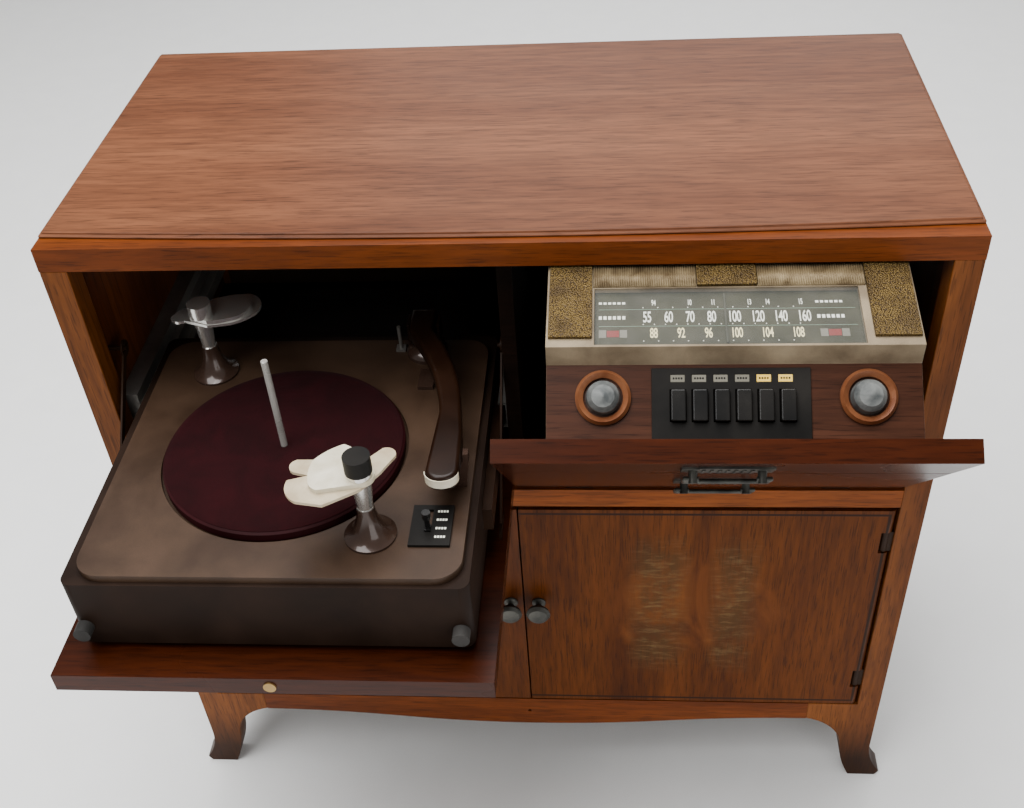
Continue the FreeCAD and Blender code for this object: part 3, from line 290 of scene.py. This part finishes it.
MAHOGANY_DARK = (0.055, 0.0125, 0.003)
MAHOGANY_LIGHT = (0.150, 0.040, 0.0085)
look = {
    "top": wood("top_wood", (0.112, 0.037, 0.0155), (0.190, 0.071, 0.0320), "X", 0.38, 0.06),
    "rail": wood("rail_wood", (0.100, 0.0200, 0.0026), (0.250, 0.062, 0.0080), "X"),
    "post": wood("leg_wood", (0.105, 0.0290, 0.0052), (0.245, 0.077, 0.0150), "Z", foot=0.12),
    "side": wood("side_wood", MAHOGANY_DARK, MAHOGANY_LIGHT, "Z", 0.42),
    "drop_door": wood("drop_door_wood", (0.020, 0.0036, 0.0008), (0.058, 0.0115, 0.0024), "X", 0.22, 0.12),
    "panel_wood": wood("radio_panel_wood", (0.028, 0.0090, 0.0045), (0.068, 0.0240, 0.0120), "X", 0.34, 0.08),
    "left_door": wood("left_door_wood", (0.064, 0.0150, 0.0026), (0.155, 0.043, 0.0070), "Z"),
    # The shelves, partitions, speaker baffle and record dividers inside get a near-black wood colour: painted
    # shade for the dark inside of the cabinet.
    "inside": wood("inside_wood_painted_shade", (0.006, 0.003, 0.0018), (0.016, 0.007, 0.004), "X", 0.7, 0.0),
    "hardboard": painted("hardboard", (0.040, 0.020, 0.010), roughness=0.8, grit=0.5),
    "housing": painted("bronzed_housing", (0.142, 0.105, 0.066), (0.350, 0.275, 0.177), 0.5, 0.05, 0.3,
                       scale=1.4, gloss=0.15),
    "deck": painted("deck_enamel", (0.027, 0.0140, 0.0078), (0.060, 0.0335, 0.0195), 0.46, 0.0, 0.2,
                    gloss=0.18),
    "tray": painted("tray_enamel", (0.0105, 0.0054, 0.0034), (0.022, 0.0120, 0.0080), 0.55, 0.0, 0.25,
                    gloss=0.07),
    "bakelite": painted("brown_bakelite", (0.0075, 0.0026, 0.0011), (0.020, 0.0078, 0.0036), 0.34, 0.0,
                        0.05, 0.05, gloss=0.16),
    "pedestal": painted("pedestal_enamel", (0.030, 0.0155, 0.0105), (0.062, 0.036, 0.026), 0.22, 0.2, 0.04,
                        0.4),
    "black": painted("black_plastic", (0.005, 0.005, 0.005), (0.015, 0.013, 0.011), 0.25, 0.0, 0.06),
    "plate_black": painted("key_plate_enamel", (0.005, 0.0045, 0.004), (0.015, 0.013, 0.011), 0.5, gloss=0.1),
    "pointer": painted("pointer_enamel", (0.045, 0.042, 0.028), (0.070, 0.066, 0.045), 0.5, gloss=0.1),
    "rubber": painted("grey_rubber", (0.014, 0.013, 0.012), (0.05, 0.046, 0.042), 0.7, 0.0, 0.5),
    "steel": painted("dull_steel", (0.20, 0.19, 0.175), (0.36, 0.34, 0.31), 0.36, 0.7, 0.15),
    "spindle": painted("bright_spindle", (0.38, 0.37, 0.34), (0.58, 0.56, 0.52), 0.28, 0.45, 0.05),
    "chrome": painted("worn_chrome", (0.58, 0.57, 0.54), (0.78, 0.76, 0.72), 0.18, 0.85, 0.05),
    "hinge": painted("hinge_bronze", (0.012, 0.0045, 0.0018), (0.030, 0.013, 0.0055), 0.5, 0.1, 0.2,
                     gloss=0.12),
    "pewter": painted("antique_pewter", (0.030, 0.030, 0.027), (0.12, 0.116, 0.100), 0.42, 0.6, 0.4, scale=3),
    "shield": painted("cream_shield", (0.56, 0.49, 0.34), (0.78, 0.73, 0.59), 0.34, 0.1, 0.05, scale=3),
    "tan_shield": painted("tan_shield", (0.42, 0.33, 0.21), (0.60, 0.51, 0.36), 0.36, 0.1, 0.05, scale=3),
    "brass": painted("aged_brass", (0.30, 0.19, 0.07), (0.50, 0.34, 0.13), 0.32, 0.8, 0.2),
    "ring": painted("copper_ring", (0.130, 0.040, 0.0145), (0.24, 0.092, 0.038), 0.34, 0.2, 0.12, scale=3),
    "dome": painted("grey_dome", (0.055, 0.060, 0.060), (0.19, 0.195, 0.185), 0.45, 0.2, 0.4, scale=5),
    "gold": hammered("hammered_gold", (0.031, 0.0165, 0.0035), (0.165, 0.104, 0.0235)),
    "ribs": painted("tan_ribs", (0.12, 0.082, 0.040), (0.34, 0.26, 0.145), 0.45, 0.3, 0.3, scale=4),
    "dial": painted("dial_face", (0.031, 0.028, 0.014), (0.057, 0.052, 0.029), 0.5, 0.0, 0.05, scale=2,
                    gloss=0.1),
    "print": painted("dial_print", (0.78, 0.77, 0.66), (0.9, 0.9, 0.8), 0.6, 0.0, 0.0),
    "warm_print": painted("dial_print_warm", (0.78, 0.68, 0.36), (0.9, 0.82, 0.50), 0.6, 0.0, 0.0),
    "green_print": painted("dial_line_green", (0.20, 0.30, 0.21), (0.30, 0.40, 0.30), 0.6, 0.0, 0.0),
    "red_print": painted("dial_print_red", (0.150, 0.009, 0.006), (0.21, 0.018, 0.012), 0.6, 0.0, 0.0),
    "dull_label": painted("paper_label", (0.125, 0.116, 0.088), (0.21, 0.195, 0.155), 0.7, 0.0, 0.1),
    "amber_label": painted("amber_label", (0.78, 0.46, 0.05), (0.9, 0.66, 0.16), 0.6, 0.0, 0.1),
    "glass": glass("dial_glass_clear"),
    "mat": flock("maroon_flock", (0.0115, 0.0008, 0.0015), (0.0185, 0.0012, 0.0023)),
    "maroon": painted("maroon_rim", (0.014, 0.0016, 0.0024), (0.028, 0.0040, 0.0056), 0.5, 0.0, 0.05,
                      gloss=0.12),
    "cloth": woven("grille_weave", (0.10, 0.06, 0.025), (0.38, 0.27, 0.13)),
    "paper": painted("cone_paper", (0.015, 0.014, 0.013), (0.035, 0.032, 0.03), 0.85, 0.0, 0.6),
}
door_low, door_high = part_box("right_door_panel")
look["veneer"] = veneered_door("crotch_veneer", (0.050, 0.0110, 0.0014), (0.125, 0.0330, 0.0038),
                               (door_low.x + door_high.x) / 2 - 0.005, (door_low.z + door_high.z) / 2 + 0.008)

NODE_LOOKS = {
    "top": "top_board",
    "rail": "front_rails",
    "post": "legs",
    "side": "side_panels",
    "inside": "cabinet_shelves centre_partitions speaker_baffle record_dividers",
    "hardboard": "back_panel",
    "paper": "loudspeaker",
    "steel": "amplifier radio_chassis cabinet_runners",
    "spindle": "spindle",
    "hinge": "door_hinges drawer_runners",
    "drop_door": "phono_door_panel radio_door_panel",
    "left_door": "left_door_panel",
    "veneer": "right_door_panel",
    "pewter": "phono_door_fittings phono_upper_bail phono_lower_bail radio_pull_plates "
              "radio_upper_bail radio_lower_bail left_door_knob right_door_knob",
    "housing": "radio_housing",
    "gold": "radio_escutcheon",
    "ribs": "dial_trim",
    "dial": "dial_backplate",
    "glass": "dial_glass",
    "plate_black": "key_panel",
    "black": "motor reject_lever",
    "ring": "knob_rings",
    "dome": "volume_knob tuning_knob",
    "pointer": "dial_pointer",
    "deck": "deck_plate",
    "tray": "drawer_base",
    "rubber": "drawer_bumpers idler_wheel",
    "brass": "motor_pulley",
    "pedestal": "selector_posts deck_fittings",
    "maroon": "turntable",
    "shield": "front_selector rear_selector",
    "bakelite": "tonearm tonearm_yoke",
}
for key, names in NODE_LOOKS.items():
    for name in names.split():
        nodes[name].data.materials.clear()
        nodes[name].data.materials.append(look[key])
for i in range(6):
    nodes[f"station_key_{i + 1}"].data.materials.clear()
    nodes[f"station_key_{i + 1}"].data.materials.append(look["black"])


def paint(name, key, test):
    """Gives a second finish to the faces whose middle passes the test."""
    mesh = nodes[name].data
    mesh.materials.append(look[key])
    slot = len(mesh.materials) - 1
    for face in mesh.polygons:
        if test(face.center):
            face.material_index = slot


def soften(name, width, segments=2):
    """Rounds a node's sharp edges a little, without touching its mesh."""
    weld = nodes[name].modifiers.new("weld", "WELD")
    weld.merge_threshold = 0.00002
    bevel = nodes[name].modifiers.new("soft_edges", "BEVEL")
    bevel.width = width
    bevel.segments = segments
    bevel.limit_method = "ANGLE"
    bevel.angle_limit = math.radians(40)
    bevel.harden_normals = True


deck_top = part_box("deck_plate")[1].z
# The selector stacks a 3 mm plate, a 5 mm shield and a 5 mm hub under its knob.
selector_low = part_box("front_selector")[0].z
paint("front_selector", "tan_shield", lambda c: c.z < selector_low + 3.1 * MM)
paint("front_selector", "chrome", lambda c: c.z > selector_low + 8.1 * MM)
paint("front_selector", "plate_black", lambda c: c.z > selector_low + 13.1 * MM)
paint("rear_selector", "chrome", lambda c: c.z > deck_top)
# Above its enamelled flare each post is bright metal.
flare_top = deck_top + 36.5 * MM
paint("selector_posts", "chrome", lambda c: c.z > flare_top)
lever_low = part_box("reject_lever")[0]


def on_control_plate(c):
    """True for the thin plate round the reject lever."""
    return c.x > lever_low.x - 0.02 and c.y < lever_low.y + 0.05 and c.z < deck_top + 0.0035


paint("deck_fittings", "plate_black", on_control_plate)
paint("deck_fittings", "steel", lambda c: c.x < lever_low.x - 0.05)
door_left_x, door_right_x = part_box("phono_door_panel")[0].x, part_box("phono_door_panel")[1].x
paint("phono_door_fittings", "hinge", lambda c: c.x < door_left_x + 0.02 or c.x > door_right_x - 0.03)
catch_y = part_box("phono_door_fittings")[0].y
paint("phono_door_fittings", "brass", lambda c: c.y < catch_y + 0.003)

for name in ("top_board", "legs", "drawer_base"):
    soften(name, 0.0012)
for name in ("phono_door_panel", "radio_door_panel", "left_door_panel", "right_door_panel"):
    soften(name, 0.0008)
for name in ("deck_plate", "radio_housing", "key_panel", "radio_escutcheon", "tonearm", "tonearm_yoke"):
    soften(name, 0.0006)

# ---------------------------------------------------------------- frames on the tilted radio
panel_normal = Vector(joints["volume_turn"]["axis"])
radio_angle = math.atan2(-panel_normal.y, panel_normal.z)
dial_angle = radio_angle - math.radians(29.5)
dial_origin = Vector(joints["pointer_travel"]["pos_m"])
dial_place = Matrix.Translation((0, dial_origin.y, dial_origin.z)) @ Matrix.Rotation(dial_angle, 4, "X")
volume_place = Vector(joints["volume_turn"]["pos_m"])
panel_place = (Matrix.Translation((0, volume_place.y, volume_place.z)) @ Matrix.Rotation(radio_angle, 4, "X"))
# The dial plate's face lies below the dial's own frame, and the print stands a hair proud of it.
DIAL_FACE = -6.5 * MM
PRINT_HEIGHT = 0.00012


def new_piece(name, mesh, place, key, body):
    """Adds a fine piece that rides on a CAD body."""
    piece = bpy.data.objects.new(name, mesh)
    bpy.context.scene.collection.objects.link(piece)
    piece.matrix_world = place
    piece.data.materials.append(look[key])
    bpy.context.view_layer.update()
    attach(piece, body)
    return piece


def bars(name, boxes, place, key, body, edge=0.00008):
    """Several thin raised marks in one piece. Each box is (x0, y0, z0, x1, y1, z1)."""
    form = bmesh.new()
    for x0, y0, z0, x1, y1, z1 in boxes:
        cube = bmesh.ops.create_cube(form, size=1.0)["verts"]
        bmesh.ops.scale(form, vec=(x1 - x0, y1 - y0, z1 - z0), verts=cube)
        bmesh.ops.translate(form, vec=((x0 + x1) / 2, (y0 + y1) / 2, (z0 + z1) / 2), verts=cube)
    bmesh.ops.bevel(form, geom=form.edges[:], offset=edge, segments=1, affect="EDGES")
    mesh = bpy.data.meshes.new(name)
    form.to_mesh(mesh)
    form.free()
    return new_piece(name, mesh, place, key, body)


def number(name, text, size, x, y, key):
    """A dial number, printed just proud of the dial plate."""
    curve = bpy.data.curves.new(name, "FONT")
    curve.body = text
    curve.size = size
    curve.align_x = "CENTER"
    curve.align_y = "CENTER"
    curve.extrude = 0.00006
    curve.offset = size * 0.014
    curve.space_character = 0.95
    place = dial_place @ Matrix.Translation((x, y, DIAL_FACE + 0.0001)) @ Matrix.Diagonal((0.45, 1, 1, 1))
    return new_piece(name, curve, place, key, "radio")


ROWS = (
    ("short", 56.6, 9.2, "print", ((143, "94"), (175, "10"), (196, "11"), (228, "13"), (244, "14"),
                                   (273, "15"))),
    ("medium", 39.2, 18.0, "print", ((137, "55"), (156, "60"), (175, "70"), (194, "80"), (214, "100"),
                                     (234.5, "120"),
                                  (254.5, "140"), (275, "160"))),
    ("high", 20.3, 16.0, "warm_print", ((142.5, "88"), (166.5, "92"), (190.5, "96"), (215, "100"),
                                        (241.5, "104"),
                                     (268, "108"))),
)
for row, height, size, key, places in ROWS:
    for x, text in places:
        number(f"dial_{row}_{text}", text, size * MM, x * MM, height * MM, key)

window_low, window_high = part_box("dial_glass")
left, right = window_low.x + 0.004, window_high.x - 0.004
line_boxes = []
for y in (48.8, 28.8):
    line_boxes.append((left, y * MM, DIAL_FACE, right, (y + 0.35) * MM, DIAL_FACE + PRINT_HEIGHT))
bars("dial_scale_lines", line_boxes, dial_place, "green_print", "radio")
ticks = []
for base, step in ((51.6, 13.3), (31.6, 9.8), (12.2, 13.0)):
    count = int(148 / step)
    for i in range(count):
        x = (133 + step * i) * MM
        ticks.append((x, (base - 1.0) * MM, DIAL_FACE, x + 0.0009, base * MM, DIAL_FACE + PRINT_HEIGHT))
bars("dial_scale_ticks", ticks, dial_place, "print", "radio", 0.00004)
# Plain strokes stand where the real dial has band names.
stroke_rows = ((56.6, 25, 2.6), (39.2, 25, 4.0))
strokes = []
for y, length, tall in stroke_rows:
    for start in (94, 286):
        for i in range(6):
            x = (start + i * length / 6) * MM
            strokes.append((x, (y - tall / 2) * MM, DIAL_FACE, x + length / 9 * MM, (y + tall / 2) * MM,
                            DIAL_FACE + PRINT_HEIGHT))
bars("dial_band_strokes", strokes, dial_place, "print", "radio")
reds = []
for start in (101, 294):
    reds.append((start * MM, 16.5 * MM, DIAL_FACE, (start + 11) * MM, 24 * MM, DIAL_FACE + PRINT_HEIGHT))
greys = []
for start in (101, 294):
    for x0, x1 in ((start - 7, start - 0.5), (start + 11.5, start + 18)):
        greys.append((x0 * MM, 15.8 * MM, DIAL_FACE, x1 * MM, 24.7 * MM, DIAL_FACE + 0.0001))
bars("dial_grey_marks", greys, dial_place, "dull_label", "radio")
bars("dial_red_marks", reds, dial_place, "red_print", "radio")

# ---------------------------------------------------------------- fluted strips above the dial


def fluted_strips():
    """Close upright flutes, drawn as a wave across each strip, with closed sides and back."""
    form = bmesh.new()
    pitch, low_y, high_y, depth = 2.05 * MM, 70 * MM, 96 * MM, 2.3 * MM
    for left_x, right_x in ((89 * MM, 181.5 * MM), (236 * MM, 330.5 * MM)):
        steps = int((right_x - left_x) / pitch) * 6
        rows = []
        for y, sink in ((low_y, depth), (low_y, 0.0), (high_y, 0.0), (high_y, depth)):
            row = []
            for i in range(steps + 1):
                wave = 0.5 * (1 - math.cos(2 * math.pi * i / 6))
                height = 0.0 if sink else depth - 1.1 * MM * (1 - wave)
                row.append(form.verts.new((left_x + (right_x - left_x) * i / steps, y, height)))
            rows.append(row)
        for near, far in zip(rows, rows[1:]):
            for i in range(steps):
                form.faces.new((near[i], near[i + 1], far[i + 1], far[i]))
        for i in (0, steps):
            form.faces.new([row[i] for row in rows])
    for face in form.faces:
        face.smooth = True
    mesh = bpy.data.meshes.new("fluted_trim")
    form.to_mesh(mesh)
    form.free()
    return mesh


flutes = new_piece("fluted_trim", fluted_strips(), dial_place, "ribs", "radio")
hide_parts("dial_trim")

to_panel = panel_place.inverted()


def on_control_panel(c):
    """True for the wooden strip that carries the knobs and keys."""
    place = to_panel @ c
    return -0.045 < place.y < 0.0292 and place.z > -0.005


paint("radio_housing", "panel_wood", on_control_panel)

# ---------------------------------------------------------------- key labels
label_y = 13.5 * MM
label_left, label_pitch, label_width = 156.5, 18.6, 12.5
labels = []
for i in range(6):
    start = label_left + label_pitch * i
    labels.append((start * MM, label_y, 0.0005, (start + label_width) * MM, label_y + 0.0065, 0.0019))
bars("station_labels", labels[:4], panel_place, "dull_label", "radio", 0.0003)
bars("lit_station_labels", labels[4:], panel_place, "amber_label", "radio", 0.0003)
label_marks = []
for x0, y0, _, _, _, top in labels:
    for i in range(4):
        label_marks.append((x0 + (2 + 2.3 * i) * MM, y0 + 0.0025, top, x0 + (3.5 + 2.3 * i) * MM, y0 + 0.0042,
                            top + 0.0001))
bars("label_strokes", label_marks, panel_place, "black", "radio", 0.00003)

# ---------------------------------------------------------------- control plate marks and tonearm band
marks = []
plate_top = deck_top + 0.003
for i in range(4):
    y = lever_low.y - 0.008 + 0.0105 * i
    for j in range(4):
        x = lever_low.x + (11 + 2.6 * j) * MM
        marks.append((x, y, plate_top, x + 0.0018, y + 0.0025, plate_top + 0.0001))
bars("control_marks", marks, Matrix.Identity(4), "print", "drawer", 0.00003)

arm_pivot = Vector(joints["tonearm_swing"]["pos_m"])


def arm_cap():
    """Bright metal strip wrapped round the front of the tonearm's head."""
    centre_x, centre_y, radius_x, radius_y = 0.0435, -0.231, 0.0150, 0.0125
    low_z, high_z = deck_top + 0.0345, deck_top + 0.0435
    form = bmesh.new()
    rows = []
    for grow, z in ((0.0, low_z), (0.0007, low_z), (0.0007, high_z), (0.0, high_z)):
        row = []
        for i in range(25):
            angle = math.pi + math.pi * i / 24
            row.append(form.verts.new((arm_pivot.x + centre_x + (radius_x + grow) * math.cos(angle),
                                       arm_pivot.y + centre_y + (radius_y + grow) * math.sin(angle), z)))
        rows.append(row)
    for near, far in zip(rows, rows[1:] + rows[:1]):
        for i in range(24):
            form.faces.new((near[i], near[i + 1], far[i + 1], far[i]))
    for i in (0, 24):
        form.faces.new([row[i] for row in rows])
    bmesh.ops.recalc_face_normals(form, faces=form.faces[:])
    mesh = bpy.data.meshes.new("tonearm_cap")
    form.to_mesh(mesh)
    form.free()
    return mesh


new_piece("tonearm_cap", arm_cap(), Matrix.Identity(4), "shield", "tonearm")

# ---------------------------------------------------------------- soft pieces
baffle_low, baffle_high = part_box("grille_cloth")


def stretched_cloth():
    """Grille cloth over the baffle, with a slight hollow where nothing backs it."""
    across, upward = 48, 40
    middle = Vector((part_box("loudspeaker")[0].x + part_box("loudspeaker")[1].x, 0,
                     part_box("loudspeaker")[0].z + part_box("loudspeaker")[1].z)) / 2
    form = bmesh.new()
    grid = []
    for j in range(upward + 1):
        row = []
        for i in range(across + 1):
            x = baffle_low.x + (baffle_high.x - baffle_low.x) * i / across
            z = baffle_low.z + (baffle_high.z - baffle_low.z) * j / upward
            open_way = max(0.0, 1 - math.hypot(x - middle.x, z - middle.z) / 0.135)
            row.append(form.verts.new((x, baffle_high.y - 0.0008 + 0.0006 * open_way, z)))
        grid.append(row)
    for j in range(upward):
        for i in range(across):
            form.faces.new((grid[j][i], grid[j][i + 1], grid[j + 1][i + 1], grid[j + 1][i]))
    mesh = bpy.data.meshes.new("speaker_cloth")
    form.to_mesh(mesh)
    form.free()
    return mesh


cloth = new_piece("speaker_cloth", stretched_cloth(), Matrix.Identity(4), "cloth", "cabinet")
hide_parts("grille_cloth")

mat_low, mat_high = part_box("turntable_mat")
MAT_HOLE = 0.0037


def flocked_mat():
    """The round flocked mat: a soft ring with a rolled edge and faint rings pressed in it."""
    centre = (mat_low + mat_high) / 2
    outer, inner = (mat_high.x - mat_low.x) / 2, MAT_HOLE
    rings = [inner + (outer - inner) * i / 40 for i in range(41)]
    around = 128
    form = bmesh.new()
    loops = []
    for radius in rings:
        edge = max(0.0, (radius - outer + 0.003) / 0.003)
        height = mat_high.z - 0.0008 * edge ** 2 - 0.00015 * (1 + math.sin(radius * 900))
        loops.append([form.verts.new((centre.x + radius * math.cos(2 * math.pi * k / around),
                                      centre.y + radius * math.sin(2 * math.pi * k / around), height))
                      for k in range(around)])
    for inside, outside in zip(loops, loops[1:]):
        for k in range(around):
            form.faces.new((inside[k], outside[k], outside[(k + 1) % around], inside[(k + 1) % around]))
    for face in form.faces:
        face.smooth = True
    mesh = bpy.data.meshes.new("platter_mat")
    form.to_mesh(mesh)
    form.free()
    return mesh, outer


mat_mesh, mat_radius = flocked_mat()
mat = new_piece("platter_mat", mat_mesh, Matrix.Identity(4), "mat", "platter")
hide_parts("turntable_mat")

# ---------------------------------------------------------------- floor, light and camera
floor_mesh = bpy.data.meshes.new("floor")
reach = 6.0
corners = [(-reach, -reach, 0), (reach, -reach, 0), (reach, reach, 0), (-reach, reach, 0)]
floor_mesh.from_pydata(corners, [], [(0, 1, 2, 3)])
floor = bpy.data.objects.new("floor", floor_mesh)
floor.data.materials.append(painted("pale_floor", (0.93, 0.93, 0.92), (0.96, 0.96, 0.95), 0.85, 0.0, 0.0))
bpy.context.scene.collection.objects.link(floor)

world = bpy.data.worlds.new("studio")
bpy.context.scene.world = world
world.use_nodes = True
world.node_tree.nodes["Background"].inputs["Color"].default_value = (1.0, 0.99, 0.97, 1)
world.node_tree.nodes["Background"].inputs["Strength"].default_value = 0.34

# Each soft light: its name, place, power in watts and width; all face the middle of the console.
LIGHTS = (
    ("overhead", (-0.3, 0.25, 3.4), 180, 2.4),
    ("key", (-1.2, -1.3, 3.2), 62, 1.6),
    ("fill", (1.6, -2.7, 1.0), 40, 2.2),
    ("back", (0.3, 2.8, 2.4), 40, 2.5),
)
target = Vector((0, 0, 0.6))
for name, place, power, width in LIGHTS:
    light = bpy.data.lights.new(name, "AREA")
    light.energy = power
    light.size = width
    lamp = bpy.data.objects.new(name, light)
    lamp.location = place
    lamp.rotation_euler = (target - Vector(place)).to_track_quat("-Z", "Y").to_euler()
    bpy.context.scene.collection.objects.link(lamp)

CAMERA_PLACE = (0.1056, -0.98445, 1.4251)
CAMERA_YAW_PITCH_ROLL = (-6.3335, 40.2294, -4.2929)
camera_data = bpy.data.cameras.new("camera")
camera_data.lens = 41.64
camera_data.sensor_width = 36.0
camera = bpy.data.objects.new("camera", camera_data)
bpy.context.scene.collection.objects.link(camera)
yaw, pitch, roll = (math.radians(v) for v in CAMERA_YAW_PITCH_ROLL)
ahead = Vector((math.sin(yaw) * math.cos(pitch), math.cos(yaw) * math.cos(pitch), -math.sin(pitch)))
level = Vector((math.cos(yaw), -math.sin(yaw), 0))
upward = level.cross(ahead)
side = level * math.cos(roll) + upward * math.sin(roll)
top = upward * math.cos(roll) - level * math.sin(roll)
facing = Matrix((side, top, -ahead)).transposed().to_4x4()
camera.matrix_world = Matrix.Translation(CAMERA_PLACE) @ facing
bpy.context.scene.camera = camera
